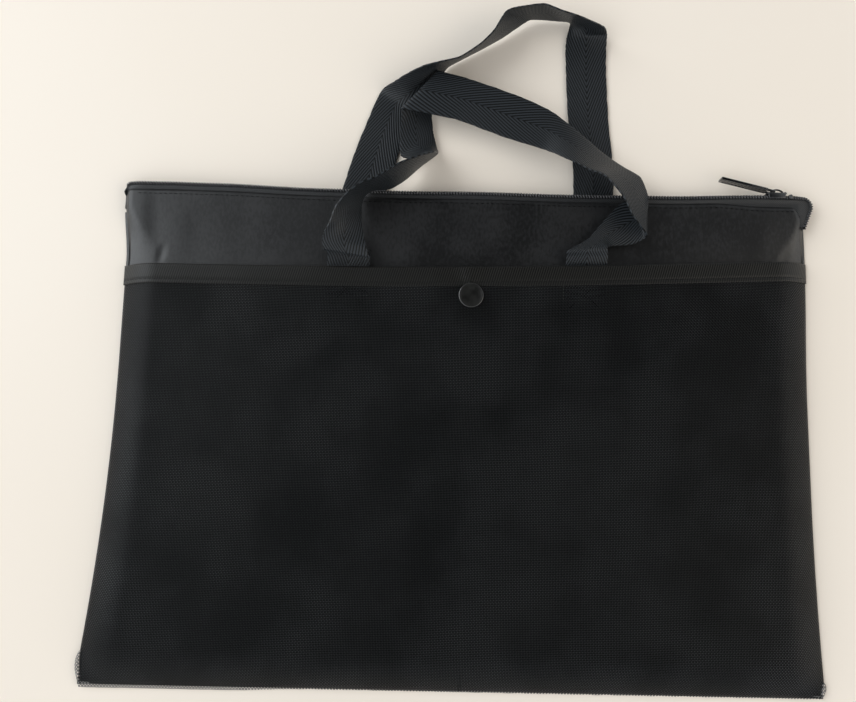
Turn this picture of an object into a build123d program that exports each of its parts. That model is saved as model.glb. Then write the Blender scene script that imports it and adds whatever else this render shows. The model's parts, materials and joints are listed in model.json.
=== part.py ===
from build123d import *
import math
import os

# Zipped portfolio case with a mesh front pocket and two webbing handles.
# The case lies on its back panel. Millimetres, +X along the width, +Y towards
# the zipper and the handles, +Z up out of the front panel. The origin is on
# the resting surface, under the middle of the case body.

os.makedirs("parts", exist_ok=True)

# ---------------------------------------------------------------- driving dimensions
HALF_WAIST = 203.6          # half width of the body at its narrowest line
WAIST_Y = 40.0              # the narrowest line
FLARE = 7.4                 # how much each side runs out at the bottom seam
BOTTOM_Y = -145.0           # bottom seam
TOP_Y = 148.0               # outer edge of the zipper chain
SEAM_Z = 0.9                # where the front layers meet the back panel
SLOPE = 14.0                # width of the sloping margin round the filled middle

BACK_T = 0.8                # back cloth with its coating
FRONT_T = 0.7               # front cloth
FRONT_TOP = 8.4             # top face of the front panel
FRONT_EDGE_Y = TOP_Y - 8.0  # folded upper edge of the front panel
MESH_T = 0.5
MESH_TOP = 13.7
BINDING_T = 0.6
BINDING_LOW_Y = 85.5        # lower edge of the twill binding on the pocket mouth
BINDING_HIGH_Y = 98.5       # upper edge
BINDING_LIP = 0.5           # the binding's fold over the raw edge of the mesh
SEAM_INNER = 1.2            # the sewn edge strip, measured out from the body outline
SEAM_OUTER = 2.4
SEAM_H = 2.4

WEB_WIDTH = 25.0            # handle webbing
WEB_T = 1.2
HANDLE_X = 71.0             # centre of each handle end, left and right
FRONT_HINGE_Y = 104.3       # where the front handle starts to bend
REAR_HINGE_Y = TOP_Y + 1.6

CHAIN_Z = 6.0               # mid height of the zipper chain
CHAIN_HALF_X = 203.0
COIL_W = 2.1                # one row of coil, across the chain
COIL_DEPTH = 2.2
CHAIN_GAP = 1.0             # gap between the two rows, for the slider's post
TAPE_T = 0.6
TAPE_LOW_Y = TOP_Y - 14.0

SLIDER_X = 188.6            # centre of the slider when the case is closed
SLIDER_LEN = 12.0
SLIDER_W = 7.2
PULL_LEN = 33.0
PULL_W = 6.0
PULL_T = 1.4
PULL_ANGLE = 166.7          # direction of the pull about +Z, from +X

SNAP_X = 2.8
SNAP_Y = 80.0
CAP_R = 7.4
SOCKET_R = 5.2

THREAD_W = 0.5
THREAD_H = 0.25


def save(node, shape):
    """Write one node, moved nowhere: every node is modelled in place."""
    export_step(shape, f"parts/{node}.step")


def box(x0, x1, y0, y1, z0, z1):
    """A block between two opposite corners."""
    block = Box(x1 - x0, y1 - y0, z1 - z0)
    return Pos((x0 + x1) / 2, (y0 + y1) / 2, (z0 + z1) / 2) * block


def disc(radius, z0, z1, x=SNAP_X, y=SNAP_Y):
    """A round plate or post that stands on the snap's axis."""
    return Pos(x, y, (z0 + z1) / 2) * Cylinder(radius, z1 - z0)


# ---------------------------------------------------------------- body outline
def half_width(y):
    """Half width of the body at height y: the sides run out below the waist."""
    if y >= WAIST_Y:
        return HALF_WAIST + 1.2 * (y - WAIST_Y) / (TOP_Y - WAIST_Y)
    drop = (WAIST_Y - y) / (WAIST_Y - BOTTOM_Y)
    return HALF_WAIST + FLARE * drop ** 2


def outline(offset, z, top_y):
    """The body outline as a face, grown by offset at the sides and the bottom."""
    heights = [BOTTOM_Y, -100.0, -50.0, WAIST_Y, top_y]
    right = [(half_width(y) + offset, y) for y in heights]
    right[0] = (right[0][0], BOTTOM_Y - offset)
    left = [(-x, y) for x, y in reversed(right)]
    points = [(x, y, z) for x, y in right + left]
    return Face(Wire.make_polygon(points, close=True))


def mound(rim, crown_z, top_y, slope=SLOPE):
    """A solid with sloping margins at the sides and bottom and a flat top."""
    low = outline(rim, SEAM_Z, top_y)
    high = outline(rim - slope, crown_z, top_y)
    return Solid.make_loft([low.outer_wire(), high.outer_wire()], ruled=True)


def plate(rim, z0, z1, top_y):
    """A flat sheet with the body outline."""
    return extrude(outline(rim, z0, top_y), amount=z1 - z0, dir=(0, 0, 1))


PAST_TOP = TOP_Y + 30.0     # mounds are built past the top, then cut off


def above_y(y):
    """Everything beyond a line across the case, used to cut sheets off."""
    return box(-300, 300, y, PAST_TOP + 50, -10, 40)


# ---------------------------------------------------------------- back panel
# A flat sheet. Its upper edge is folded in as a hem that carries the rear zipper
# tape. The hem is open where the two ends of the rear handle are sewn in.
HEM_TOP = 2.1
END_HALF = WEB_WIDTH / 2 + 0.3
HEM_Y1 = TOP_Y - 2.0
HEM_HALF_X = HALF_WAIST - 5.0
hem_runs = [
    (-HEM_HALF_X, -HANDLE_X - END_HALF),
    (-HANDLE_X + END_HALF, HANDLE_X - END_HALF),
    (HANDLE_X + END_HALF, HEM_HALF_X),
]
back_panel = plate(SEAM_INNER, 0, BACK_T, HEM_Y1)
for x0, x1 in hem_runs:
    back_panel += box(x0, x1, TAPE_LOW_Y, HEM_Y1, BACK_T, HEM_TOP)
save("back_panel", back_panel)

# ---------------------------------------------------------------- front panel
# A shallow tray over the main compartment, open along the zipper.
STUD_HOLE_R = 1.5
front_outer = mound(0.0, FRONT_TOP, PAST_TOP)
front_inner = mound(-FRONT_T, FRONT_TOP - FRONT_T, PAST_TOP)
front_panel = front_outer - front_inner - above_y(FRONT_EDGE_Y)
front_panel -= disc(STUD_HOLE_R, FRONT_TOP - 2, FRONT_TOP + 1)
save("front_panel", front_panel)

# ---------------------------------------------------------------- pocket mesh
# The mesh lies over the front panel and is sewn in at both sides and the bottom.
# It has a clearance hole under the cap of the snap, for the socket to lift through.
MESH_HOLE_R = 5.6
MESH_EDGE_Y = BINDING_HIGH_Y - BINDING_LIP
mesh_outer = mound(SEAM_INNER, MESH_TOP, PAST_TOP)
mesh_inner = mound(SEAM_INNER - MESH_T - 0.1, MESH_TOP - MESH_T, PAST_TOP)
pocket_mesh = mesh_outer - mesh_inner - above_y(MESH_EDGE_Y)
pocket_mesh -= disc(MESH_HOLE_R, MESH_TOP - 2, MESH_TOP + 1)
save("pocket_mesh", pocket_mesh)

# ---------------------------------------------------------------- pocket binding
# Twill tape over the mouth of the pocket, with a lip down the mesh's raw edge.
BINDING_TOP = MESH_TOP + BINDING_T
binding_band = box(-300, 300, BINDING_LOW_Y, BINDING_HIGH_Y, SEAM_H + 0.1, 40)
binding_skin = mound(SEAM_INNER + 0.9, BINDING_TOP, PAST_TOP) & binding_band
binding_core = mound(SEAM_INNER, MESH_TOP + 0.02, PAST_TOP) - above_y(MESH_EDGE_Y)
lip_core = mound(SEAM_INNER - MESH_T - 0.1, MESH_TOP - MESH_T, PAST_TOP)
pocket_binding = binding_skin - binding_core - lip_core
save("pocket_binding", pocket_binding)

STITCH_Y = BINDING_LOW_Y + 2.8
binding_stitching = box(
    -188, 188, STITCH_Y, STITCH_Y + THREAD_W, BINDING_TOP, BINDING_TOP + THREAD_H
)
save("binding_stitching", binding_stitching)

# ---------------------------------------------------------------- sewn edges
# The edge strip where back panel, front panel and mesh are sewn together.
edge_ring = plate(SEAM_OUTER, 0, SEAM_H, FRONT_EDGE_Y) - plate(
    SEAM_INNER, -1, SEAM_H + 1, FRONT_EDGE_Y + 10
)
TAIL_LOW_Y = TOP_Y - 17.0
edge_ring -= above_y(TAIL_LOW_Y - 0.4)
side_zone = box(0, 300, BOTTOM_Y - SEAM_INNER, 200, -5, 20)
save("seam_right", edge_ring & side_zone)
save("seam_left", edge_ring & mirror(side_zone, about=Plane.YZ))
save("seam_bottom", edge_ring & box(-300, 300, -200, BOTTOM_Y - SEAM_INNER, -5, 20))

# ---------------------------------------------------------------- zipper
COIL_Y0 = TOP_Y - COIL_DEPTH
UPTURN_Y0 = COIL_Y0 - TAPE_T - 0.1
FRONT_COIL_Z = CHAIN_Z + CHAIN_GAP / 2
BACK_COIL_Z = CHAIN_Z - CHAIN_GAP / 2 - COIL_W
FRONT_TAPE_Z = FRONT_TOP - FRONT_T - 0.1 - TAPE_T
BACK_TAPE_Z = HEM_TOP + 0.05

# Each tape has a wide part inside the case, as long as the sloping ends of the
# front panel leave room for, and an upturned edge that carries the coil.
FRONT_TAPE_HALF_X = HALF_WAIST - SLOPE - 2.0
front_tape = box(
    -FRONT_TAPE_HALF_X, FRONT_TAPE_HALF_X, TAPE_LOW_Y, COIL_Y0 - 0.1,
    FRONT_TAPE_Z, FRONT_TAPE_Z + TAPE_T,
)
front_tape += box(
    -CHAIN_HALF_X, CHAIN_HALF_X, UPTURN_Y0, COIL_Y0 - 0.1, FRONT_TAPE_Z, FRONT_COIL_Z + COIL_W
)
save("zipper_tape_front", front_tape)

back_tape = box(
    -HEM_HALF_X, HEM_HALF_X, TAPE_LOW_Y, COIL_Y0 - 0.1, BACK_TAPE_Z, BACK_TAPE_Z + TAPE_T
)
back_tape += box(
    -CHAIN_HALF_X, CHAIN_HALF_X, UPTURN_Y0, COIL_Y0 - 0.1, BACK_TAPE_Z, BACK_COIL_Z + COIL_W - 0.5
)
save("zipper_tape_back", back_tape)

for node, z0 in [("zipper_coil_front", FRONT_COIL_Z), ("zipper_coil_back", BACK_COIL_Z)]:
    coil = box(-CHAIN_HALF_X, CHAIN_HALF_X, COIL_Y0, TOP_Y, z0, z0 + COIL_W)
    save(node, coil)

# Two crimped stops above the closed slider, one on each row of coil.
STOP_X0 = SLIDER_X + SLIDER_LEN / 2 + 1.5
STOP_LEN = 2.4
zipper_stops = Compound(
    children=[
        box(STOP_X0, STOP_X0 + STOP_LEN, COIL_Y0, TOP_Y + 0.4, z1, z1 + 0.5)
        for z1 in (FRONT_COIL_Z + COIL_W, BACK_COIL_Z - 0.5)
    ]
)
save("zipper_stops", zipper_stops)

# Tape ends: folded square at the left, a tail that curls down the side at the right.
END_X0 = CHAIN_HALF_X + 0.3
END_X1 = 207.0
zipper_end_left = box(-END_X1, -END_X0, FRONT_EDGE_Y + 0.3, TOP_Y - 0.5, 1.4, 7.4)
save("zipper_end_left", zipper_end_left)
zipper_end_right = box(END_X0, END_X1 + 2.5, FRONT_EDGE_Y + 0.3, TOP_Y - 0.5, 1.4, 7.4)
zipper_end_right += box(END_X1, END_X1 + 2.5, TAIL_LOW_Y, FRONT_EDGE_Y + 0.3, 1.4, 7.4)
save("zipper_end_right", zipper_end_right)

TOPSTITCH_Y = FRONT_EDGE_Y - 3.0
zipper_topstitching = box(
    -188, 188, TOPSTITCH_Y, TOPSTITCH_Y + THREAD_W, FRONT_TOP, FRONT_TOP + THREAD_H
)
save("zipper_topstitching", zipper_topstitching)

# ---------------------------------------------------------------- slider and pull
# Two plates joined by a post that runs between the rows of coil.
PLATE_Y0 = TOP_Y + 0.5
PLATE_T = 0.8
INNER_Y0 = UPTURN_Y0 - 2.0
INNER_T = 1.0
slider_x0 = SLIDER_X - SLIDER_LEN / 2
slider_x1 = SLIDER_X + SLIDER_LEN / 2
outer_plate = box(
    slider_x0, slider_x1, PLATE_Y0, PLATE_Y0 + PLATE_T,
    CHAIN_Z - SLIDER_W / 2, CHAIN_Z + SLIDER_W / 2,
)
inner_plate = box(slider_x0, slider_x1, INNER_Y0, INNER_Y0 + INNER_T, 3.2, 6.7)
post = box(SLIDER_X, SLIDER_X + 4, INNER_Y0 + INNER_T, PLATE_Y0, CHAIN_Z - 0.2, CHAIN_Z + 0.2)
save("slider_body", outer_plate + inner_plate + post)

# The bridge is an arch over the outer plate, in the plane of the chain's length.
BRIDGE_HALF_Z = 0.8
BRIDGE_LEG = 1.2
BRIDGE_X0 = slider_x0 + 2.6
BRIDGE_X1 = slider_x1 - 0.4
BRIDGE_Y0 = PLATE_Y0 + PLATE_T
BRIDGE_RISE = 3.1
bridge = box(
    BRIDGE_X0, BRIDGE_X1, BRIDGE_Y0, BRIDGE_Y0 + BRIDGE_RISE,
    CHAIN_Z - BRIDGE_HALF_Z, CHAIN_Z + BRIDGE_HALF_Z,
)
bridge = fillet(bridge.edges().filter_by(Axis.Z).group_by(Axis.Y)[-1], 1.4)
bridge -= box(
    BRIDGE_X0 + BRIDGE_LEG, BRIDGE_X1 - BRIDGE_LEG, BRIDGE_Y0, BRIDGE_Y0 + BRIDGE_RISE - 0.9,
    CHAIN_Z - 2, CHAIN_Z + 2,
)
save("slider_bridge", bridge)

# The pull is drawn along +X from its pivot bar, then turned to where it lies.
PIVOT_X = BRIDGE_X0 + BRIDGE_LEG + 1.1
PIVOT_Y = BRIDGE_Y0 + 1.05
BAR = 1.2
WINDOW_END = 4.3
pull = box(-BAR / 2, PULL_LEN, -PULL_T / 2, PULL_T / 2, -PULL_W / 2, PULL_W / 2)
pull -= box(BAR / 2, WINDOW_END, -2, 2, -1.3, 1.3)
pull = Pos(PIVOT_X, PIVOT_Y, CHAIN_Z) * Rot(0, 0, PULL_ANGLE) * pull
save("pull_tab", pull)

# ---------------------------------------------------------------- snap fastener
# Cap and socket are on the pocket, stud and back cap on the front panel.
SOCKET_Z0 = 10.4
SOCKET_Z1 = MESH_TOP - MESH_T - 0.1
CAP_Z0 = BINDING_TOP + 0.3
CAP_H = 2.4
cap = disc(CAP_R, CAP_Z0, CAP_Z0 + CAP_H)
cap = fillet(cap.edges().filter_by(GeomType.CIRCLE).group_by(Axis.Z)[-1], 1.6)
cap += disc(1.4, SOCKET_Z1, CAP_Z0)
save("snap_cap", cap)

STUD_R = 2.2
socket = disc(SOCKET_R, SOCKET_Z0, SOCKET_Z1) - disc(STUD_R + 0.3, SOCKET_Z0 - 1, SOCKET_Z1 - 0.6)
save("snap_socket", socket)

STUD_Z0 = FRONT_TOP + 0.05
stud = disc(4.8, STUD_Z0, STUD_Z0 + 1.2) + disc(STUD_R, STUD_Z0 + 1.2, SOCKET_Z1 - 0.9)
save("snap_stud", stud)

BACK_CAP_Z1 = FRONT_TOP - FRONT_T - 0.05
back_cap = disc(5.5, BACK_CAP_Z1 - 1.0, BACK_CAP_Z1) + disc(STUD_HOLE_R - 0.1, BACK_CAP_Z1, STUD_Z0)
save("snap_back_cap", back_cap)

# ---------------------------------------------------------------- handle ends
FRONT_END_Z = FRONT_TOP + 0.05
FRONT_END_Y0 = 72.0
REAR_END_Y0 = TOP_Y - 30.0
REAR_END_Z = BACK_T + 0.05
front_ends = []
rear_ends = []
for side in (-1, 1):
    x0 = side * HANDLE_X - WEB_WIDTH / 2
    x1 = side * HANDLE_X + WEB_WIDTH / 2
    front_ends.append(
        box(x0, x1, FRONT_END_Y0, FRONT_HINGE_Y - 0.6, FRONT_END_Z, FRONT_END_Z + WEB_T)
    )
    rear_ends.append(box(x0, x1, REAR_END_Y0, TOP_Y, REAR_END_Z, REAR_END_Z + WEB_T))
save("front_handle_ends", Compound(children=front_ends))
save("rear_handle_ends", Compound(children=rear_ends))


def stitch_box(x, y, width, height, z):
    """A sewn rectangle with a cross in it, as a thin layer of thread."""
    frame = Rectangle(width, height) - Rectangle(width - 2 * THREAD_W, height - 2 * THREAD_W)
    slant = math.degrees(math.atan2(height, width))
    diagonal = math.hypot(width, height) - 4 * THREAD_W
    for turn in (slant, -slant):
        frame += Rot(0, 0, turn) * Rectangle(diagonal, THREAD_W)
    return Pos(x, y, z) * extrude(frame, amount=THREAD_H)


front_boxes = []
rear_boxes = []
for side in (-1, 1):
    front_boxes.append(stitch_box(side * HANDLE_X, 83.0, 20, 18, FRONT_END_Z + WEB_T))
    rear_boxes.append(stitch_box(side * HANDLE_X, REAR_END_Y0 + 8, 20, 12, REAR_END_Z + WEB_T))
save("front_handle_stitching", Compound(children=front_boxes))
save("rear_handle_stitching", Compound(children=rear_boxes))


# ---------------------------------------------------------------- handle loops
def webbing(stations, thickness):
    """Flat webbing through stations, each a pair of opposite edge points.

    The four corners of each cross-section lie half the thickness to each side of
    the edge points. The faces between two cross-sections are triangles, so that
    a twisted or folded stretch is still an exact closed solid.
    """
    pairs = [(Vector(*p), Vector(*q)) for p, q in stations]
    middles = [(p + q) * 0.5 for p, q in pairs]
    rings = []
    for i, (p, q) in enumerate(pairs):
        before = middles[max(i - 1, 0)]
        after = middles[min(i + 1, len(pairs) - 1)]
        lift = (after - before).cross(p - q).normalized() * (thickness / 2)
        rings.append([p + lift, q + lift, q - lift, p - lift])
    faces = []

    def triangle(a, b, c):
        faces.append(Face(Wire.make_polygon([a, b, c], close=True)))

    for ring, following in zip(rings, rings[1:]):
        for k in range(4):
            n = (k + 1) % 4
            triangle(ring[k], ring[n], following[n])
            triangle(ring[k], following[n], following[k])
    for ring in (rings[0], rings[-1]):
        triangle(ring[0], ring[1], ring[2])
        triangle(ring[0], ring[2], ring[3])
    return Solid(Shell(faces))


# Front handle, from its left end round to its right end. It rises off the case,
# stands on edge over the zipper, folds back at the far left, crosses over the
# rear handle and folds again at the right.
FRONT_START_Z = 11.0
front_route = [
    ((-83.5, 105, FRONT_START_Z), (-58.5, 105, FRONT_START_Z)),
    ((-84, 113, 15), (-58, 113, 14)),
    ((-80, 120, 24), (-58, 122, 15)),
    ((-72, 129, 31), (-60, 138, 13)),
    ((-56, 141, 32), (-54, 144, 12)),
    ((-43, 152, 32), (-46, 147, 11)),
    ((-32, 158, 31), (-32, 159, 10)),
    ((-21, 164, 27), (-18, 170, 4)),
    ((-24, 174, 20), (-20, 179, 3)),
    ((-37, 185, 11), (-22, 189, 3)),
    ((-39, 195, 8), (-20, 213, 7)),
    ((-41, 197, 10.5), (-21, 221, 10.5)),
    ((-39, 196, 13), (-18, 219, 13)),
    ((-8, 189, 14), (0, 214, 14)),
    ((19, 179, 15), (28, 203, 15)),
    ((46, 169, 18), (53, 189, 15)),
    ((62, 159, 25), (72, 177, 14)),
    ((76, 151, 30), (87, 166, 13)),
    ((86, 140, 30), (103, 156, 13)),
    ((96, 129, 25), (108, 145, 14)),
    ((105, 120, 18.5), (108, 137, 18.5)),
    ((106.5, 119, 15.5), (107, 148, 15.5)),
    ((104, 117, 12.5), (98, 145, 12.5)),
    ((91, 113, 14), (83, 130, 12.5)),
    ((83, 110, 15), (66, 113, 14)),
    ((83.5, 105, FRONT_START_Z), (58.5, 105, FRONT_START_Z)),
]
front_handle_loop = webbing(front_route, WEB_T)
save("front_handle_loop", front_handle_loop)

# Rear handle, from its left end round to its right end. It lies on the surface,
# with one half twist at the upper left and a bend at the upper right.
LYING = WEB_T / 2 + 0.15
REAR_START_Z = 1.3
rear_route = [
    ((-76, REAR_HINGE_Y + 0.6, REAR_START_Z), (-50, REAR_HINGE_Y + 0.6, REAR_START_Z)),
    ((-71, 167, LYING), (-45, 162, LYING)),
    ((-63, 190, LYING), (-40, 182, LYING)),
    ((-54, 209, LYING), (-34, 195, LYING)),
    ((-43, 218, 1.5), (-26, 201, LYING)),
    ((-31, 224, 4), (-15, 207, LYING)),
    ((-20, 228, 12), (-6, 217, 0.9)),
    ((-2, 232, 22), (2, 233, 1)),
    ((10, 243, 22), (17, 243, 1)),
    ((20, 256, 17), (32, 250, 2)),
    ((31, 264, 12), (40, 253, 2)),
    ((47, 269, 8), (50, 252, 2)),
    ((67, 264, 5), (60, 250, 1.5)),
    ((86, 256, 2.5), (62, 243, 1)),
    ((88, 243, 0.9), (63, 231, LYING)),
    ((89, 223, LYING), (63, 216, LYING)),
    ((90, 190, LYING), (65.5, 190, LYING)),
    ((90.5, REAR_HINGE_Y + 0.6, REAR_START_Z), (66, REAR_HINGE_Y + 0.6, REAR_START_Z)),
]
rear_handle_loop = webbing(rear_route, WEB_T)
save("rear_handle_loop", rear_handle_loop)
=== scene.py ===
# %% [markdown]
# This lesson builds the looks of a zipped portfolio case round its CAD frame. The case lies on
# its back, +X along its width, +Y towards the zipper and the handles, +Z up. The frame holds
# every size and every moving body; each cell below makes one piece that sits in that frame.

# %% Load the frame
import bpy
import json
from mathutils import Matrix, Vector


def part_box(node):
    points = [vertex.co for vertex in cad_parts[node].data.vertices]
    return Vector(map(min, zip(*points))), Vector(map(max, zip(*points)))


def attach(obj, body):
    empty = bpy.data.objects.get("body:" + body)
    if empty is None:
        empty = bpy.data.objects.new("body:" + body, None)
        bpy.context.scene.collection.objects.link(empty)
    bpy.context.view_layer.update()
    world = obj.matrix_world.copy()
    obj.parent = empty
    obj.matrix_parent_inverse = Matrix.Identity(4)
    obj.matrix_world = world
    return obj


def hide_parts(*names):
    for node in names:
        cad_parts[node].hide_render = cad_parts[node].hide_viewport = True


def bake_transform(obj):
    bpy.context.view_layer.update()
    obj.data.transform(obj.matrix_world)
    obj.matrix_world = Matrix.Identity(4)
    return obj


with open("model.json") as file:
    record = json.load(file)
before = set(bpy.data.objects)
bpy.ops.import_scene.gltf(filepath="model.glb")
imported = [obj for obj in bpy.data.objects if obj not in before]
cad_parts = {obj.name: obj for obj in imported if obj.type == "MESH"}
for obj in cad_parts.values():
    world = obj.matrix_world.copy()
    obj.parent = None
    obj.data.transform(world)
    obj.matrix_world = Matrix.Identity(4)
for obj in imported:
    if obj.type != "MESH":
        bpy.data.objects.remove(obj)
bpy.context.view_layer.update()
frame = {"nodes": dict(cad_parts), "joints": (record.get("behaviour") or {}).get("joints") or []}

import json
import math
from collections import namedtuple

import bmesh
import bpy
from mathutils import Matrix, Vector, noise

MM = 0.001

# %% [markdown]
# The camera looks almost straight down on the lying case, from a little left of its middle and
# about 45 cm up, tipped seven degrees so that it sees the edges that face the viewer. It comes
# first because everything else is judged through it.

# %% Camera
camera_data = bpy.data.cameras.new("camera")
camera_data.lens = 32.0
camera_data.sensor_width = 36.0
camera_data.clip_start = 0.01
camera = bpy.data.objects.new("camera", camera_data)
camera.location = (-0.0239, -0.0105, 0.4543)
camera.rotation_euler = (math.radians(7.39), math.radians(-0.44), math.radians(1.23))
bpy.context.scene.collection.objects.link(camera)
bpy.context.scene.camera = camera
bpy.context.scene.view_settings.view_transform = "Standard"
print("camera lens", camera_data.lens, "mm")

# %% [markdown]
# Materials are built from a few small helpers: one starts a Principled shader, one adds a node
# and wires its inputs, one paints two tones, and one turns a height pattern into bump. A
# constant goes straight on to the shader's own socket.

# %% Shader helpers
def new_shader(name, colour, roughness, **sockets):
    """A material with one Principled shader; returns the material, its tree and the shader."""
    material = bpy.data.materials.new(name)
    material.use_nodes = True
    tree = material.node_tree
    shader = tree.nodes["Principled BSDF"]
    shader.inputs["Base Color"].default_value = (*colour, 1.0)
    shader.inputs["Roughness"].default_value = roughness
    for socket, value in sockets.items():
        shader.inputs[socket.replace("_", " ")].default_value = value
    return material, tree, shader


def add(tree, kind, settings=None, **inputs):
    """Add a node, set its own settings, and fill its inputs with values or with links."""
    node = tree.nodes.new("ShaderNode" + kind)
    for key, value in (settings or {}).items():
        setattr(node, key, value)
    for key, value in inputs.items():
        socket = node.inputs[int(key[1:])] if key[0] == "i" and key[1:].isdigit() else node.inputs[key]
        if isinstance(value, bpy.types.NodeSocket):
            tree.links.new(value, socket)
        else:
            socket.default_value = value
    return node.outputs[0]


def maths(tree, operation, a, b=0.0):
    """One Math node."""
    return add(tree, "Math", {"operation": operation}, i0=a, i1=b)


def axes(tree, source="Object"):
    """The x, y and z of a texture coordinate."""
    coordinate = tree.nodes.new("ShaderNodeTexCoord")
    split = tree.nodes.new("ShaderNodeSeparateXYZ")
    tree.links.new(coordinate.outputs[source], split.inputs[0])
    return split.outputs


def remap(tree, value, low, high, to_low=0.0, to_high=1.0, smooth=True):
    """A Map Range node, eased at both ends unless smooth is off."""
    kind = {"interpolation_type": "SMOOTHSTEP" if smooth else "LINEAR"}
    return add(tree, "MapRange", kind, i0=value, i1=low, i2=high, i3=to_low, i4=to_high)


def grain(tree, scale, detail=3.0, stretch=(1, 1, 1)):
    """Noise on object coordinates, stretched along the axes."""
    coordinate = tree.nodes.new("ShaderNodeTexCoord")
    mapping = add(tree, "Mapping", i0=coordinate.outputs["Object"], i3=stretch)
    return add(tree, "TexNoise", Vector=mapping, Scale=scale, Detail=detail)


def bands(tree, distance, pitch, wave="SINE"):
    """A wave from -1 to 1 with one crest at every pitch along a distance."""
    return maths(tree, wave, maths(tree, "MULTIPLY", distance, math.tau / pitch))


def paint(tree, shader, factor, dark, light):
    """Colour the shader between dark, where factor is 0, and light, where it is 1."""
    node = tree.nodes.new("ShaderNodeMix")
    node.data_type = "RGBA"
    tree.links.new(factor, node.inputs["Factor"])
    node.inputs["A"].default_value = (*dark, 1.0)
    node.inputs["B"].default_value = (*light, 1.0)
    tree.links.new(node.outputs["Result"], shader.inputs["Base Color"])


def bump(tree, shader, height, depth, strength=1.0):
    """Raise the surface by height times depth metres."""
    node = tree.nodes.new("ShaderNodeBump")
    node.inputs["Strength"].default_value = strength
    node.inputs["Distance"].default_value = depth
    tree.links.new(height, node.inputs["Height"])
    tree.links.new(node.outputs[0], shader.inputs["Normal"])


print("shader helpers ready")

# %% [markdown]
# The case cloth is a coated nylon oxford: a plain weave of fine yarns, matt with a soft sheen.
# The weave is a product of two sine bands on object coordinates, broad noise gives the slightly
# uneven coating, and fine stretched noise gives the slubs in the yarn. An image of cloth would
# repeat; this doesn't.

# %% Nylon cloth
NYLON_YARN = 0.55 * MM


def nylon_cloth():
    material, tree, shader = new_shader(
        "nylon_oxford", (0.005, 0.0052, 0.0058), 0.46,
        Sheen_Weight=0.03, Sheen_Roughness=0.4, Specular_IOR_Level=0.5,
    )
    x, y, _ = axes(tree)
    weave = maths(tree, "MULTIPLY", bands(tree, x, NYLON_YARN), bands(tree, y, NYLON_YARN))
    cloudy = grain(tree, 22.0, 4.0)
    slubs = grain(tree, 700.0, 2.0, stretch=(1.0, 0.5, 1.0))
    most = maths(tree, "MULTIPLY", slubs, 0.6)
    patchy = remap(tree, maths(tree, "ADD", maths(tree, "MULTIPLY", cloudy, 0.4), most), 0.4, 0.6)
    paint(tree, shader, patchy, dark=(0.0014, 0.0015, 0.0017), light=(0.0090, 0.0092, 0.0099))
    rough = remap(tree, cloudy, 0.35, 0.65, 0.36, 0.44)
    tree.links.new(rough, shader.inputs["Roughness"])
    height = maths(tree, "ADD", weave, maths(tree, "MULTIPLY", slubs, 3.0))
    bump(tree, shader, height, 0.02 * MM, 0.6)
    return material


nylon = nylon_cloth()
print("made", nylon.name)

# %% [markdown]
# The pocket is a warp-knitted mesh: fine threads that cross on the diagonal, with small holes
# in staggered rows, 1.75 mm apart along a row. Half the sum of two cosines is large, in either
# sign, exactly on such a staggered lattice, so its absolute value gives the holes, and half the
# difference gives the knots between them. The holes are real gaps in the shader's alpha; the
# knots stand up, and their colour is painted paler: a painted highlight where they catch the light.
# The rows sway a little, as they do in any cloth that was handled.

# %% Pocket mesh
HOLE_STEP_X = 1.75 * MM
HOLE_STEP_Y = 1.9 * MM
SWAY = 2.5 * MM


def mesh_cloth(name, dark, light, hole_edge, roughness):
    material, tree, shader = new_shader(
        name, light, roughness, Specular_IOR_Level=0.1,
    )
    x, y, _ = axes(tree)
    sway = maths(tree, "MULTIPLY", maths(tree, "SUBTRACT", grain(tree, 9.0, 1.0), 0.5), SWAY)
    across = bands(tree, maths(tree, "ADD", x, sway), HOLE_STEP_X, "COSINE")
    along = bands(tree, maths(tree, "ADD", y, sway), HOLE_STEP_Y, "COSINE")
    lattice = maths(tree, "ABSOLUTE", maths(tree, "MULTIPLY", maths(tree, "ADD", across, along), 0.5))
    thread = remap(tree, lattice, hole_edge - 0.09, hole_edge + 0.09, 1.0, 0.0)
    tree.links.new(thread, shader.inputs["Alpha"])
    knots = maths(tree, "ABSOLUTE", maths(tree, "MULTIPLY", maths(tree, "SUBTRACT", across, along), 0.5))
    core = remap(tree, knots, 0.55, 0.92, 0.0, 1.0)
    cloudy = remap(tree, grain(tree, 30.0, 3.0), 0.3, 0.7, 0.4, 1.0)
    # Knots painted paler than the near-black threads between them: a painted highlight.
    paint(tree, shader, maths(tree, "MULTIPLY", core, cloudy), dark, light)
    rough = remap(tree, core, 0.0, 1.0, roughness + 0.04, roughness)
    tree.links.new(rough, shader.inputs["Roughness"])
    threads = remap(tree, lattice, 0.05, 0.5, 1.0, 0.0)
    bump(tree, shader, maths(tree, "ADD", core, threads), 0.04 * MM, 0.9)
    return material


pocket_cloth = mesh_cloth(
    "pocket_mesh_knit", dark=(0.0001, 0.0001, 0.0001), light=(0.0640, 0.0652, 0.0695),
    hole_edge=0.66, roughness=0.3,
)
# The raw edge's threads are painted pale grey: a painted glint on the black mesh.
edge_cloth_with_glint = mesh_cloth(
    "mesh_raw_edge_painted_glint", dark=(0.16, 0.155, 0.15), light=(0.32, 0.31, 0.30), hole_edge=0.42, roughness=0.5,
)
print("made", pocket_cloth.name, "and", edge_cloth_with_glint.name)

# %% [markdown]
# The binding is twill tape: its ribs run on the diagonal. The handles are herringbone webbing:
# the ribs run down to the middle of the strap from both edges. The webbing pattern follows the
# strap as it twists, so it reads the strap's own UV map, where u is the share of the width and
# v the length in metres.

# %% Twill tape and webbing
TWILL_RIB = 1.4 * MM
WEBBING_WIDTH = 25.0 * MM
WEBBING_RIB = 3.9 * MM
WEBBING_YARN = 0.7 * MM
RIB_STEEPNESS = 2.4


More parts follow.
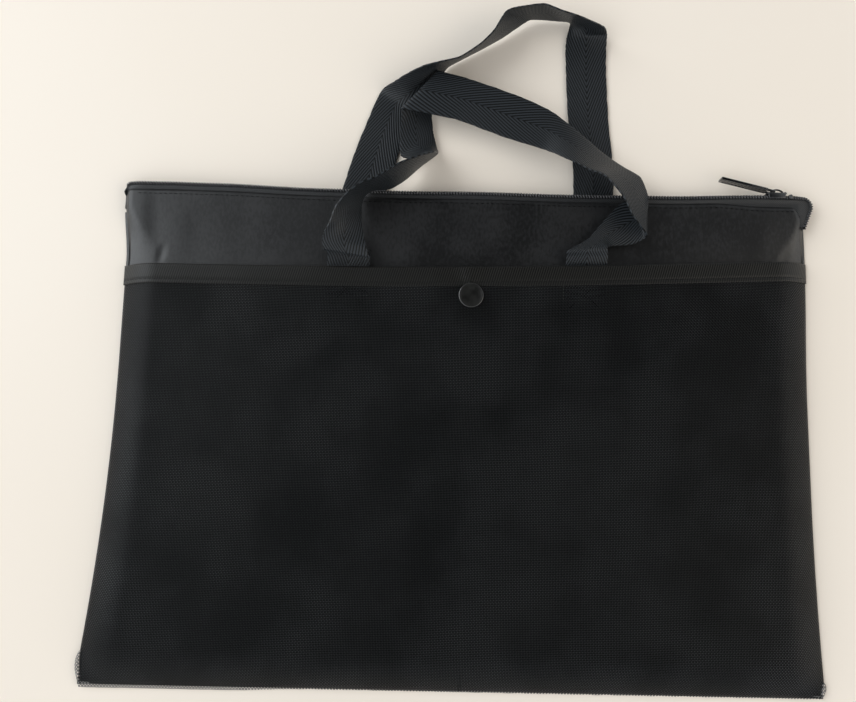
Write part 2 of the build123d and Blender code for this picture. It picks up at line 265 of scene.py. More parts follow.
def twill_tape():
    material, tree, shader = new_shader(
        "twill_binding", (0.012, 0.012, 0.0115), 0.36, Sheen_Weight=0.01, Sheen_Roughness=0.5,
        Specular_IOR_Level=0.2,
    )
    x, y, _ = axes(tree)
    slant = maths(tree, "ADD", x, maths(tree, "MULTIPLY", y, -0.3))
    ribs = bands(tree, slant, TWILL_RIB)
    raised = remap(tree, ribs, -0.8, 0.8)
    paint(tree, shader, raised, dark=(0.0006, 0.0006, 0.0005), light=(0.0180, 0.0177, 0.0158))
    fibre = grain(tree, 900.0, 2.0)
    bump(tree, shader, maths(tree, "ADD", ribs, fibre), 0.05 * MM, 0.8)
    return material


def herringbone_webbing():
    material, tree, shader = new_shader(
        "herringbone_webbing", (0.012, 0.013, 0.014), 0.4, Sheen_Weight=0.01, Sheen_Roughness=0.45,
        Specular_IOR_Level=0.25,
    )
    u, v, _ = axes(tree, "UV")
    from_middle = maths(tree, "ABSOLUTE", maths(tree, "SUBTRACT", u, 0.5))
    fall = maths(tree, "MULTIPLY", from_middle, WEBBING_WIDTH * RIB_STEEPNESS)
    wave = bands(tree, maths(tree, "ADD", v, fall), WEBBING_RIB)
    yarns = bands(tree, maths(tree, "MULTIPLY", u, WEBBING_WIDTH), WEBBING_YARN)
    spine = remap(tree, from_middle, 0.0, 0.02, 0.6, 1.0)
    ribs = maths(tree, "MULTIPLY", remap(tree, wave, -0.8, 0.7), spine)
    paint(tree, shader, ribs, dark=(0.0004, 0.0005, 0.0006), light=(0.0245, 0.0290, 0.0335))
    height = maths(tree, "ADD", ribs, maths(tree, "MULTIPLY", yarns, 0.15))
    bump(tree, shader, height, 0.14 * MM, 0.9)
    return material


binding_cloth = twill_tape()
webbing = herringbone_webbing()
print("made", binding_cloth.name, "and", webbing.name)

# %% [markdown]
# Zipper tape is a close weave with a ribbed look across its width; the coil is satin nylon
# wire; the slider and pull are cast zinc under thin black enamel; the snap is moulded acetal.
# Thread is spun polyester. Each gets its own roughness and fine detail.

# %% Trim materials
def zipper_weave():
    material, tree, shader = new_shader(
        "zipper_tape_weave", (0.008, 0.0084, 0.009), 0.42, Sheen_Weight=0.01, Specular_IOR_Level=0.4,
    )
    x, y, _ = axes(tree)
    weave = maths(tree, "MULTIPLY", bands(tree, x, 1.3 * MM), bands(tree, y, 1.2 * MM))
    raised = remap(tree, weave, -1.0, 1.0)
    paint(tree, shader, raised, dark=(0.0020, 0.0021, 0.0024), light=(0.0270, 0.0285, 0.0305))
    bump(tree, shader, weave, 0.1 * MM, 0.7)
    return material


def plain_finish(name, dark, light, roughness, grain_scale, depth, **sockets):
    """A nearly even finish: fine speckle in tone and height, and slower change in gloss."""
    material, tree, shader = new_shader(name, light, roughness, **sockets)
    speckle = grain(tree, grain_scale, 4.0)
    paint(tree, shader, remap(tree, speckle, 0.3, 0.7), dark, light)
    rough = remap(tree, grain(tree, grain_scale * 0.2, 3.0), 0.3, 0.7, roughness * 0.85, roughness * 1.2)
    tree.links.new(rough, shader.inputs["Roughness"])
    bump(tree, shader, speckle, depth, 0.5)
    return material


tape_cloth = zipper_weave()
# The wire is black nylon, painted paler than the cloth: a painted highlight along its turns.
coil_wire = plain_finish(
    "coil_nylon", (0.022, 0.022, 0.024), (0.05, 0.05, 0.053), 0.3, 700.0, 0.01 * MM,
    Specular_IOR_Level=0.7,
)
enamel = plain_finish(
    "black_enamel", (0.006, 0.006, 0.007), (0.014, 0.014, 0.015), 0.24, 400.0, 0.01 * MM,
    Specular_IOR_Level=0.7, Coat_Weight=0.5, Coat_Roughness=0.12,
)
acetal = plain_finish(
    "snap_acetal", (0.008, 0.008, 0.0076), (0.017, 0.017, 0.0162), 0.2, 260.0, 0.012 * MM,
    Coat_Weight=0.5, Coat_Roughness=0.1,
)
# Black thread, painted darker still than the cloth round it: painted shade in the sunken stitch rows.
thread_fibre = plain_finish(
    "sewing_thread", (0.0004, 0.0004, 0.0005), (0.003, 0.003, 0.0034), 0.5, 1500.0, 0.02 * MM,
    Specular_IOR_Level=0.15,
)
print("made", ", ".join(m.name for m in (tape_cloth, coil_wire, enamel, acetal, thread_fibre)))

# %% [markdown]
# Every cloth panel shares the outline of the body: drawn in at the waist, flaring towards the
# bottom seam, and a little wider again at the zipper. The case was set down by hand, so its
# left side flares more than its right one. The main sizes are read from the frame. Each side
# is then described by four changes of width: what it has to spare at the waist, the flare
# below, the nip at the bottom corner and the shoulder beside the zipper. A run says at which y
# a change starts, and over what length it grows.

# %% Body outline
back_low, back_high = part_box("back_panel")
coil_low, coil_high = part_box("zipper_coil_front")
BOTTOM_Y = back_low.y
TOP_Y = coil_high.y
WAIST_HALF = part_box("front_panel")[1].x - 7.4 * MM
PANEL_TOP_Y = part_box("front_panel")[1].y
FRONT_TOP_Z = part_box("front_panel")[1].z
MESH_TOP_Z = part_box("pocket_mesh")[1].z
SEAM_Z = 0.9 * MM
WIDE_SLOPE = 22 * MM
TOP_SLOPE = 6 * MM
SHOULDER_Y = 100 * MM
HALF_REACH = 205 * MM
SIDE_DROP = 3.4 * MM
FOOT_DROP = 2.4 * MM

Side = namedtuple("Side", "spare flare flare_run nip nip_run shoulder shoulder_run")
LEFT_SIDE = Side(
    spare=2.5 * MM, flare=12.0 * MM, flare_run=(40 * MM, 185 * MM), nip=1.8 * MM,
    nip_run=(-128 * MM, 16 * MM), shoulder=3.2 * MM, shoulder_run=(100 * MM, 37 * MM),
)
RIGHT_SIDE = Side(
    spare=1.8 * MM, flare=3.2 * MM, flare_run=(-30 * MM, 115 * MM), nip=1.2 * MM,
    nip_run=(-136 * MM, 8 * MM), shoulder=2.1 * MM, shoulder_run=(20 * MM, 90 * MM),
)


def clamp(value, low=0.0, high=1.0):
    return max(low, min(high, value))


def ease(value):
    value = clamp(value)
    return value * value * (3 - 2 * value)


def above(y, start, length):
    """How far y has come up a run that starts at start: 0 before it and 1 past its end."""
    return clamp((y - start) / length)


def below(y, start, length):
    """How far y has come down a run that starts at start."""
    return clamp((start - y) / length)


def lerp(a, b, share):
    return a + (b - a) * share


def half_width(side, y):
    """Distance from the middle line to the sewn edge at y, on the side -1 or 1."""
    edge = LEFT_SIDE if side < 0 else RIGHT_SIDE
    flare = edge.flare * below(y, *edge.flare_run) ** 2
    nip = edge.nip * ease(below(y, *edge.nip_run))
    shoulder = edge.shoulder * ease(above(y, *edge.shoulder_run))
    return WAIST_HALF + edge.spare + flare - nip + shoulder


def side_of(x):
    return -1 if x < 0 else 1


def crown(x, y):
    """0 on the sewn edge and 1 inside the margin, rounded over like filled cloth."""
    slope = lerp(WIDE_SLOPE, TOP_SLOPE, ease(above(y, SHOULDER_Y, 35 * MM)))
    side = clamp((half_width(side_of(x), y) - abs(x)) / slope)
    bottom = clamp((y - BOTTOM_Y) / WIDE_SLOPE)
    return side * (2 - side) * bottom * (2 - bottom)


def belly(x, y):
    """The broad fullness of the case: how far the cloth drops from its middle."""
    flatter = 1 - 0.7 * ease(above(y, SHOULDER_Y, 38 * MM))
    sides = SIDE_DROP * abs(x / HALF_REACH) ** 3 * flatter
    return sides + FOOT_DROP * below(y, 20 * MM, 165 * MM) ** 4


print("half width at the waist", round(half_width(-1, 0.04) / MM, 1), "mm")

# %% [markdown]
# Cloth is never quite flat. The drape function adds slow swells and a few creases: a dimple and
# three soft folds near the left end of the band, two at its right corner, and three long, faint
# ones between. Each crease is listed as its start, its end, its width and its height, which is
# below zero for a hollow. All of them fade out at the sewn edges.

# %% Drape
def ridge(x, y, start, end, width, height):
    """A crease along the line from start to end."""
    if abs(x - start[0]) > 4 * width + abs(end[0] - start[0]):
        return 0.0
    dx, dy = end[0] - start[0], end[1] - start[1]
    share = clamp(((x - start[0]) * dx + (y - start[1]) * dy) / (dx * dx + dy * dy))
    away = math.hypot(x - start[0] - dx * share, y - start[1] - dy * share)
    return height * math.exp(-((away / width) ** 2)) * math.sin(math.pi * (0.15 + 0.7 * share))


CREASES_MM = (
    ((-183, 107), (-185, 98), 1.9, -0.8),
    ((-197, 144), (-197, 100), 4.5, 0.3),
    ((-189, 140), (-187, 104), 4.5, -0.2),
    ((-172, 134), (-174, 102), 8.0, 0.3),
    ((196, 116), (188.5, 98), 2.4, -0.35),
    ((182, 132), (178, 100), 7.0, 0.2),
    ((-120, 128), (-30, 112), 9.0, 0.35),
    ((20, 125), (50, 100), 7.0, -0.4),
    ((120, 120), (170, 108), 8.0, 0.35),
)
CREASES = [
    (Vector(start) * MM, Vector(end) * MM, width * MM, height * MM)
    for start, end, width, height in CREASES_MM
]


def swell(x, y, seed):
    """Slow unevenness of a lying sheet."""
    broad = noise.noise(Vector((x * 11, y * 13, seed)))
    fine = noise.noise(Vector((x * 38, y * 30, seed + 7)))
    return 0.7 * MM * broad + 0.22 * MM * fine


def drape(x, y, seed):
    creases = sum(ridge(x, y, *crease) for crease in CREASES)
    return swell(x, y, seed) + creases


print("creases:", len(CREASES))

# %% [markdown]
# A sheet starts as a bmesh grid, one unit square, whose points are then moved to where a
# function says the cloth lies. Solidify gives it the cloth's thickness. A helper does this for
# every panel, binding and tape, so that each piece below only has to describe its own surface.
# Another helper fits a finished piece into the frame: it hides the CAD node that the piece stands
# for, and hangs the piece on the body that carries it.

# %% Sheet helper
def finish_piece(bm, name, material):
    """Turn a bmesh into an object with one material."""
    mesh = bpy.data.meshes.new(name)
    bm.to_mesh(mesh)
    bm.free()
    mesh.materials.append(material)
    for face in mesh.polygons:
        face.use_smooth = True
    piece = bpy.data.objects.new(name, mesh)
    bpy.context.scene.collection.objects.link(piece)
    return piece


def fit(piece, node, body):
    """Let a piece stand for a CAD node, hiding that node, and ride on a body."""
    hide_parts(node)
    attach(piece, body)
    print(piece.name, "stands for", node, "and rides on", body)


def thicken(piece, thickness, offset=-1.0):
    """Give a sheet its thickness with a live Solidify modifier."""
    solid = piece.modifiers.new("thickness", "SOLIDIFY")
    solid.thickness = thickness
    solid.offset = offset
    solid.use_even_offset = False


def close_at_centre(piece):
    """Thin a half to nothing on the middle line, so that the two halves meet without a step."""
    group = piece.vertex_groups.new(name="thick")
    away = [vertex.index for vertex in piece.data.vertices if abs(vertex.co.x) > 0.01 * MM]
    group.add(away, 1.0, "REPLACE")
    piece.modifiers["thickness"].vertex_group = group.name


def sheet(name, columns, rows, place, material, thickness, offset=-1.0):
    """A grid whose corners (0, 0) to (1, 1) are moved to place(u, v)."""
    bm = bmesh.new()
    bm.loops.layers.uv.new("UVMap")
    bmesh.ops.create_grid(bm, x_segments=columns, y_segments=rows, size=0.5, calc_uvs=True)
    for vertex in bm.verts:
        vertex.co = place(vertex.co.x + 0.5, vertex.co.y + 0.5)
    piece = finish_piece(bm, name, material)
    thicken(piece, thickness, offset)
    print(name, len(piece.data.polygons), "faces")
    return piece


# %% [markdown]
# The zipper runs along the top edge. At the left it turns down round the corner and ends; at
# the right it runs past the closed slider and its tail curls down the side. One function gives
# that line, and both tapes and both rows of coil follow it.

# %% Zipper line
LEFT_X = -204.5 * MM
RIGHT_X = 206.0 * MM
LEFT_RADIUS = 4.0 * MM
RIGHT_RADIUS = 6.2 * MM
LEFT_TURN = math.radians(70)
TAIL_TURN = math.radians(112)
TAIL_LENGTH = 13.0 * MM
DIP = 2.2 * MM


def chain_line(s):
    """The outer edge of the chain at distance s from the middle: a point and its outward side."""
    if LEFT_X <= s <= RIGHT_X:
        dip = DIP * ease(above(s, -150 * MM, 60 * MM)) * ease(below(s, 175 * MM, 60 * MM))
        wave = 0.25 * MM * math.sin(s * 61.0 + 1.0) * ease(below(abs(s), 190 * MM, 20 * MM))
        return Vector((s, TOP_Y - dip + wave, 0)), Vector((0, 1, 0))
    end, radius, most, side = (
        (LEFT_X, LEFT_RADIUS, LEFT_TURN, -1) if s < LEFT_X else (RIGHT_X, RIGHT_RADIUS, TAIL_TURN, 1)
    )
    beyond = abs(s - end)
    turn = min(beyond / radius, most)
    outward = Vector((side * math.sin(turn), math.cos(turn), 0))
    point = Vector((end, TOP_Y - radius, 0)) + outward * radius
    spare = max(0.0, beyond - most * radius)
    return point + Vector((side * outward.y, -abs(outward.x), 0)) * spare, outward


def end_sink(x):
    """How far the zipper sinks towards the table at its two ends."""
    return 2.2 * MM * ease(above(abs(x), 198 * MM, 12 * MM))


CHAIN_START = LEFT_X - LEFT_RADIUS * LEFT_TURN
CHAIN_END = RIGHT_X + RIGHT_RADIUS * TAIL_TURN + TAIL_LENGTH
CHAIN_LENGTH = CHAIN_END - CHAIN_START
print("chain length", round(CHAIN_LENGTH / MM), "mm")

# %% [markdown]
# The back panel lies on the table: one flat sheet of nylon. The front panel is the same cloth,
# raised over what the case holds and sloping down to the seams. Its upper edge is folded in
# beside the zipper.

# %% Back and front panels
def across(u, y, grow):
    """x at the share u of the way from the left edge to the right one."""
    return lerp(-half_width(-1, y) - grow, half_width(1, y) + grow, u)


BACK_Z = 0.75 * MM


def back_place(u, v):
    y = lerp(BOTTOM_Y, back_high.y, v)
    return Vector((across(u, y, -1.0 * MM), y, BACK_Z))


back_panel = sheet("back_cloth", 90, 60, back_place, nylon, 0.7 * MM)
fit(back_panel, "back_panel", "root")


PANEL_INSET = 1.2 * MM
FOLD_WIDTH = 1.2 * MM


def fold_y(x):
    """The folded upper edge of the front cloth: below the coil, and further below it at the right."""
    return chain_line(x)[0].y - 4.9 * MM - 2.3 * MM * ease(above(x, 150 * MM, 30 * MM))


def front_surface(x, y):
    """Height of the front cloth."""
    share = crown(x, y)
    return SEAM_Z + (FRONT_TOP_Z - SEAM_Z - belly(x, y) + drape(x, y, 3.0)) * share


def front_place(u, v):
    rough_y = lerp(BOTTOM_Y, PANEL_TOP_Y, v)
    x = across(u, rough_y, -PANEL_INSET)
    top = fold_y(clamp(x, LEFT_X, RIGHT_X))
    y = lerp(BOTTOM_Y + PANEL_INSET, top, v)
    z = front_surface(x, y)
    fold = above(y, top - FOLD_WIDTH, FOLD_WIDTH)
    round_corner = 5.0 * MM * above(y, 130 * MM, 11 * MM) ** 2 * clamp(x / (207 * MM)) ** 12
    return Vector((x - round_corner, y, z - 0.5 * MM * fold * fold))


front_panel = sheet("front_cloth", 220, 170, front_place, nylon, 0.6 * MM)
fit(front_panel, "front_panel", "root")

# %% [markdown]
# The pocket mesh is sewn in at the sides and the bottom and free at its mouth, where the snap
# lets it lift. It is made in two halves that meet on the middle line.

# %% Pocket mesh halves
binding_low, binding_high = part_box("pocket_binding")
MOUTH_Y = binding_high.y - 1.0 * MM
SNAP_X = 2.8 * MM
SNAP_Y = 80 * MM
HALVES = ((-1, "left"), (1, "right"))


def mouth_shift(x):
    """The pocket mouth isn't level: it runs up towards the right."""
    share = x / (206 * MM)
    return (-0.5 + 5.2 * share + 3.8 * share * share) * MM


def mesh_surface(x, y):
    """Height of the pocket mesh, with puckers round the snap."""
    share = crown(x, y)
    away = math.hypot(x - SNAP_X, y - SNAP_Y)
    turn = math.atan2(y - SNAP_Y, x - SNAP_X)
    pucker = 0.35 * MM * math.sin(5 * turn) * math.exp(-((away - 14 * MM) / (12 * MM)) ** 2)
    lift = MESH_TOP_Z - SEAM_Z - belly(x, y) + 0.8 * swell(x, y, 11.0) + pucker
    return SEAM_Z + 0.3 * MM + lift * share


def half_x(side, u, y, grow=0.0):
    """x on one half, always running from left to right so that the faces look up."""
    reach = half_width(side, y) + grow
    return lerp(-reach, 0, u) if side < 0 else lerp(0, reach, u)


def mesh_half_place(side):
    def place(u, v):
        y = lerp(BOTTOM_Y, MOUTH_Y, v)
        x = half_x(side, u, y)
        y += mouth_shift(x) * v
        return Vector((x, y, mesh_surface(x, y)))
    return place


def lift_with_mouth(piece):
    """Bake a piece's placement into its mesh."""
    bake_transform(piece)


for side, word in HALVES:
    half = sheet("pocket_mesh_" + word, 130, 165, mesh_half_place(side), pocket_cloth, 0.35 * MM)
    close_at_centre(half)
    lift_with_mouth(half)
    if side < 0:
        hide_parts("pocket_mesh")

# %% [markdown]
# The binding is one twill tape folded over the mesh's raw edge: a lower edge, a flat face, a
# rounded fold at the top and a short return inside. The row of stitches pulls a shallow groove
# into it. It is made in halves, like the mesh.

# %% Pocket binding
TAPE_HEIGHT = 12.2 * MM
RETURN_HEIGHT = 1.4 * MM
TAPE_RISE = 0.75 * MM
GROOVE_DEPTH = 0.55 * MM
GROOVE_WIDTH = 0.7 * MM
STITCH_RISE = 2.7 * MM
BINDING_LOW_Y = binding_low.y + 0.6 * MM


def binding_point(x, along):
    """A point of the tape's outer face; along is the distance up from its lower edge."""
    flat = min(along, TAPE_HEIGHT)
    y = BINDING_LOW_Y + flat + mouth_shift(x)
    edge = half_width(side_of(x), y)
    inner = min(abs(x), edge)
    z = mesh_surface(math.copysign(inner, x), y) + TAPE_RISE - 1.2 * (abs(x) - inner)
    groove = math.exp(-((along - STITCH_RISE) / GROOVE_WIDTH) ** 2)
    hem = math.exp(-(along / (0.5 * MM)) ** 2)
    roll = above(along, TAPE_HEIGHT - FOLD_WIDTH, FOLD_WIDTH)
    wave = 0.18 * MM * math.sin(x / (3.2 * MM) * math.tau) * hem
    z -= GROOVE_DEPTH * groove + 0.3 * MM * hem + 0.9 * MM * roll * roll
    over = max(0.0, along - TAPE_HEIGHT)
    return Vector((x, y + wave - 0.2 * over, max(0.8 * MM, z - over)))


def binding_half_place(side):
    def place(u, v):
        x = half_x(side, u, 90 * MM, 1.0 * MM)
        return binding_point(x, v * (TAPE_HEIGHT + RETURN_HEIGHT))
    return place


for side, word in HALVES:
    half = sheet("binding_" + word, 260, 22, binding_half_place(side), binding_cloth, 0.45 * MM)
    close_at_centre(half)
    lift_with_mouth(half)
    if side < 0:
        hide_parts("pocket_binding")

# %% [markdown]
# Lockstitch shows as a row of short, slightly slanted grains of thread. One grain is a low
# sphere of 24 faces, stretched; a helper sets one at each step along a line on the cloth.

# %% Stitch rows
STITCH_LENGTH = 2.2 * MM
STITCH_THICK = 0.42 * MM
STITCH_STEP = 3.1 * MM


def stitches(name, spots):
    """spots are (point, direction) pairs; each gets one grain of thread."""
    bm = bmesh.new()
    size = Matrix.Diagonal((STITCH_LENGTH, STITCH_THICK, STITCH_THICK * 0.8, 1.0))
    for point, direction in spots:
        turn = direction.to_track_quat("X", "Z").to_matrix().to_4x4()
        place = Matrix.Translation(point) @ turn @ size
        bmesh.ops.create_uvsphere(bm, u_segments=6, v_segments=4, radius=0.5, matrix=place)
    piece = finish_piece(bm, name, thread_fibre)
    print(name, len(spots), "stitches")
    return piece


def row_spots(surface, x0, x1):
    """Even spots on surface(x), each pointing at the next."""
    count = int(abs(x1 - x0) / STITCH_STEP)
    found = []
    for i in range(count):
        x = lerp(x0, x1, (i + 0.5) / count)
        here = surface(x)
        found.append((here, (surface(x + 0.5 * MM) - here).normalized()))
    return found


def binding_seam(x):
    return binding_point(x, STITCH_RISE) + Vector((0, 0, 0.1 * MM))


for side, word in HALVES:
    row = stitches("binding_stitches_" + word, row_spots(binding_seam, side * 1.5 * MM, side * 205 * MM))
    lift_with_mouth(row)
    if side < 0:
        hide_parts("binding_stitching")


def topstitch_line(x):
    y = fold_y(x) - 2.8 * MM
    return Vector((x, y, front_surface(x, y) + 0.12 * MM))


topstitches = stitches("zipper_topstitches", row_spots(topstitch_line, -200 * MM, 200 * MM))
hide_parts("zipper_topstitching")
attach(topstitches, "root")

# %% [markdown]
# Each row of a coil zipper is one nylon wire wound in a flattened helix and sewn to its tape.
# Spin makes the first turn: a ring of six points goes round the X axis and along it at every
# step. Copying the whole row eight times over doubles it to 256 turns, far faster than one
# long spin. A filler cord runs inside, and the straight row is then laid along the zipper's line.

# %% Zipper coils
DOUBLINGS = 8
TURNS = 2 ** DOUBLINGS
TOOTH_PITCH = CHAIN_LENGTH / TURNS
WIRE_RADIUS = 0.42 * MM
WIRE_SPREAD = 1.3
COIL_RADIUS = 1.0 * MM
COIL_INSET = 1.25 * MM
COIL_FLATNESS = 0.9
CORD_RADIUS = 0.7 * MM
STEPS_PER_TURN = 8


def coil_row(name, centre_z, hand, node):
    """One row of turns and the cord inside it; hand, 1 or -1, is the way that its wire winds."""
    bm = bmesh.new()
    along_x = Matrix.Rotation(math.radians(90), 4, "Y")
    ring = bmesh.ops.create_circle(
        bm, segments=6, radius=WIRE_RADIUS, matrix=Matrix.Translation((0, 0, COIL_RADIUS)) @ along_x,
    )["verts"]
    quarter = Matrix.Rotation(math.radians(90), 3, "Z")
    bmesh.ops.rotate(bm, verts=ring, cent=(0, 0, COIL_RADIUS), matrix=quarter)
    bmesh.ops.scale(bm, verts=ring, vec=(WIRE_SPREAD, 1.0, 1.0))
    bmesh.ops.spin(
        bm, geom=ring + list(bm.edges), cent=(0, 0, 0), axis=(1, 0, 0), angle=hand * math.tau,
        dvec=(TOOTH_PITCH / STEPS_PER_TURN, 0, 0), steps=STEPS_PER_TURN, use_merge=False,
    )
    for k in range(DOUBLINGS):
        copy = bmesh.ops.duplicate(bm, geom=bm.verts[:] + bm.edges[:] + bm.faces[:])["geom"]
        moved = [item for item in copy if isinstance(item, bmesh.types.BMVert)]
        bmesh.ops.translate(bm, vec=(TOOTH_PITCH * 2 ** k, 0, 0), verts=moved)
    bmesh.ops.remove_doubles(bm, verts=bm.verts, dist=0.01 * MM)
    cord = bmesh.ops.create_cone(
        bm, cap_ends=True, segments=8, radius1=CORD_RADIUS, radius2=CORD_RADIUS, depth=CHAIN_LENGTH,
        matrix=Matrix.Translation((CHAIN_LENGTH / 2, 0, 0)) @ along_x,
    )["verts"]
    long_edges = [edge for edge in bm.edges if edge.calc_length() > 0.5 * CHAIN_LENGTH]
    # The cord's faces take the dark thread finish: painted shade in the gaps under the wire's turns.
    for face in {face for vertex in cord for face in vertex.link_faces}:
        face.material_index = 1
    bmesh.ops.subdivide_edges(bm, edges=long_edges, cuts=TURNS, use_grid_fill=True)
    bmesh.ops.recalc_face_normals(bm, faces=bm.faces)
    for vertex in bm.verts:
        edge, outward = chain_line(CHAIN_START + vertex.co.x)
        spot = edge - outward * (COIL_INSET - vertex.co.y * COIL_FLATNESS)
        vertex.co = Vector((spot.x, spot.y, centre_z + vertex.co.z - end_sink(spot.x)))
    piece = finish_piece(bm, name, coil_wire)
    piece.data.materials.append(thread_fibre)
    fit(piece, node, "root")


front_coil_z = (coil_low.z + coil_high.z) / 2 - 0.15 * MM
back_coil_low, back_coil_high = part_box("zipper_coil_back")
back_coil_z = (back_coil_low.z + back_coil_high.z) / 2 + 0.15 * MM
coil_row("coil_front", front_coil_z, 1, "zipper_coil_front")
coil_row("coil_back", back_coil_z, -1, "zipper_coil_back")
print(TURNS, "turns in each row, one every", round(TOOTH_PITCH / MM, 2), "mm")

# %% [markdown]
# The tapes are woven strips sewn to the coils. The front tape shows as a narrow band between
# the teeth and the folded edge of the cloth; it dips towards the teeth. The rear one mirrors
# it underneath. Both follow the zipper's line round the ends.

# %% Zipper tapes
TAPE_INSET = 2.2 * MM
TAPE_WIDTH = 10 * MM
TAIL_TAPE_WIDTH = 4.5 * MM
BACK_TAPE_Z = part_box("zipper_tape_back")[0].z + 0.3 * MM


def tape_place(inner_z, edge_z):
    """inner_z(x, y) is the tape's height under the cloth, edge_z its height beside the coil."""
    def place(u, v):
        edge, outward = chain_line(lerp(CHAIN_START - 1.5 * MM, CHAIN_END, u))
        if edge.x < 0:
            outward = Vector((0, 1, 0))
        shown = lerp(TAPE_WIDTH, TAIL_TAPE_WIDTH, ease(above(edge.x, 203 * MM, 6 * MM)))
        spot = edge - outward * (TAPE_INSET + v * shown)
        beside = edge_z - end_sink(spot.x)
        inner = lerp(inner_z(spot.x, spot.y), beside, ease(above(spot.x, 200 * MM, 5 * MM)))
        return Vector((spot.x, spot.y, lerp(beside, inner, ease(v * 3.3))))
    return place


def under_front_cloth(x, y):
    return max(1.2 * MM, front_surface(x, min(y, fold_y(x))) - 1.1 * MM)


def over_back_cloth(x, y):
    return BACK_TAPE_Z


tape_front = sheet(
    "tape_front", 300, 14, tape_place(under_front_cloth, front_coil_z + 0.1 * MM),
    tape_cloth, 0.45 * MM, 0.0,
)
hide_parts("zipper_tape_front", "zipper_end_left", "zipper_end_right")
tape_back = sheet(
    "tape_back", 300, 14, tape_place(over_back_cloth, back_coil_z - 0.2 * MM),
    tape_cloth, 0.45 * MM, 0.0,
)
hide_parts("zipper_tape_back")
for tape in (tape_front, tape_back):
    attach(tape, "root")

# %% [markdown]
# The slider is a small zinc casting: two plates with bevelled rims round the chain, and an
# arched bridge that the pull hangs on. Each plate is a cube, scaled and bevelled; the arch is
# a round section spun through half a turn. The zipper's stops are made the same way: a plate
# crimped round each row, with a rib pressed across it.

# %% Slider
slider_low, slider_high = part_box("slider_body")
bridge_low, bridge_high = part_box("slider_bridge")
SLIDER_MID = (slider_low + slider_high) / 2


def block(bm, low, high, rounding, segments=3):
    """A cube between two corners with rounded edges."""
    low, high = Vector(low), Vector(high)
    size = high - low
    place = Matrix.Translation((low + high) / 2) @ Matrix.Diagonal((*size, 1.0))
    made = bmesh.ops.create_cube(bm, size=1.0, matrix=place)["verts"]
    edges = list({edge for vertex in made for edge in vertex.link_edges})
    bmesh.ops.bevel(
        bm, geom=edges, offset=rounding, offset_type="OFFSET", segments=segments, profile=0.5,
        affect="EDGES", material=-1, clamp_overlap=True,
    )


def slider_piece():
    """Outer plate, inner plate, the two flanges between them and the diamond that parts the rows."""
    bm = bmesh.new()
    lo, hi = slider_low, slider_high
    middle = SLIDER_MID.z
    plate = 1.0 * MM
    flange = 0.9 * MM
    block(bm, (lo.x, hi.y - plate, lo.z), (hi.x, hi.y, hi.z), 0.45 * MM)
    block(bm, (lo.x, lo.y, lo.z + 0.8 * MM), (hi.x, lo.y + plate, hi.z - 2.9 * MM), 0.4 * MM)
    for z in (lo.z, hi.z - flange):
        start = (lo.x + 0.8 * MM, hi.y - 3.4 * MM, z)
        block(bm, start, (hi.x - 0.8 * MM, hi.y - 0.5 * MM, z + flange), 0.3 * MM)
    start = (hi.x - 3.2 * MM, lo.y + 0.5 * MM, middle - 0.5 * MM)
    block(bm, start, (hi.x - 1.2 * MM, hi.y - 0.5 * MM, middle + 0.5 * MM), 0.2 * MM)
    return finish_piece(bm, "slider_casting", enamel)


def bridge_piece():
    """The arch, and the small lug in front of it."""
    bm = bmesh.new()
    half_span = (bridge_high.x - bridge_low.x) / 2
    middle = Vector(((bridge_high.x + bridge_low.x) / 2, bridge_low.y, SLIDER_MID.z))
    thick = 1.1 * MM
    section = Matrix.Translation((-half_span + thick / 2, 0, 0)) @ Matrix.Rotation(math.radians(90), 4, "X")
    ring = bmesh.ops.create_circle(bm, segments=10, radius=0.72 * MM, matrix=section)["verts"]
    bmesh.ops.spin(
        bm, geom=ring + list(bm.edges), cent=(0, 0, 0), axis=(0, 0, -1), angle=math.pi,
        steps=18, use_merge=False,
    )
    bmesh.ops.recalc_face_normals(bm, faces=bm.faces)
    rise = (bridge_high.y - bridge_low.y) / half_span
    bmesh.ops.scale(bm, vec=(1.0, rise, 1.0), verts=bm.verts)
    bmesh.ops.translate(bm, vec=middle, verts=bm.verts)
    lug = Vector((bridge_high.x + 0.3 * MM, bridge_low.y - 0.3 * MM, SLIDER_MID.z - 0.5 * MM))
    block(bm, lug, lug + Vector((1.0, 1.8, 1.0)) * MM, 0.3 * MM)
    return finish_piece(bm, "slider_arch", enamel)


def stop_crimps():
    """Two crimped stops, one round each row of coil, each with a pressed rib across it."""
    bm = bmesh.new()
    low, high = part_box("zipper_stops")
    depth = 2.6 * MM
    proud = 0.15 * MM
    for z in (low.z, high.z - depth):
        block(bm, (low.x, low.y, z), (high.x, high.y, z + depth), 0.7 * MM, 4)
        rib = (low.x + 0.8 * MM, low.y - 0.2 * MM, z - proud)
        block(bm, rib, (high.x - 0.8 * MM, high.y, z + depth + proud), 0.3 * MM)
    return finish_piece(bm, "stop_crimps", enamel)


fit(stop_crimps(), "zipper_stops", "root")
fit(slider_piece(), "slider_body", "zipper_slider")
fit(bridge_piece(), "slider_bridge", "zipper_slider")

# %% [markdown]
# The pull is a flat tab with a raised rim and cross ribs for grip, and an eye round the bridge.
# It is built along X from its pivot, then turned to the angle at which the frame holds it.

# %% Pull tab
pull_joint = next(j for j in frame["joints"] if j["name"] == "zipper_pull_swing")
PIVOT = Vector(pull_joint["pos_m"])
PULL_ANGLE = math.radians(166.7)
PULL_LENGTH = 33.0 * MM


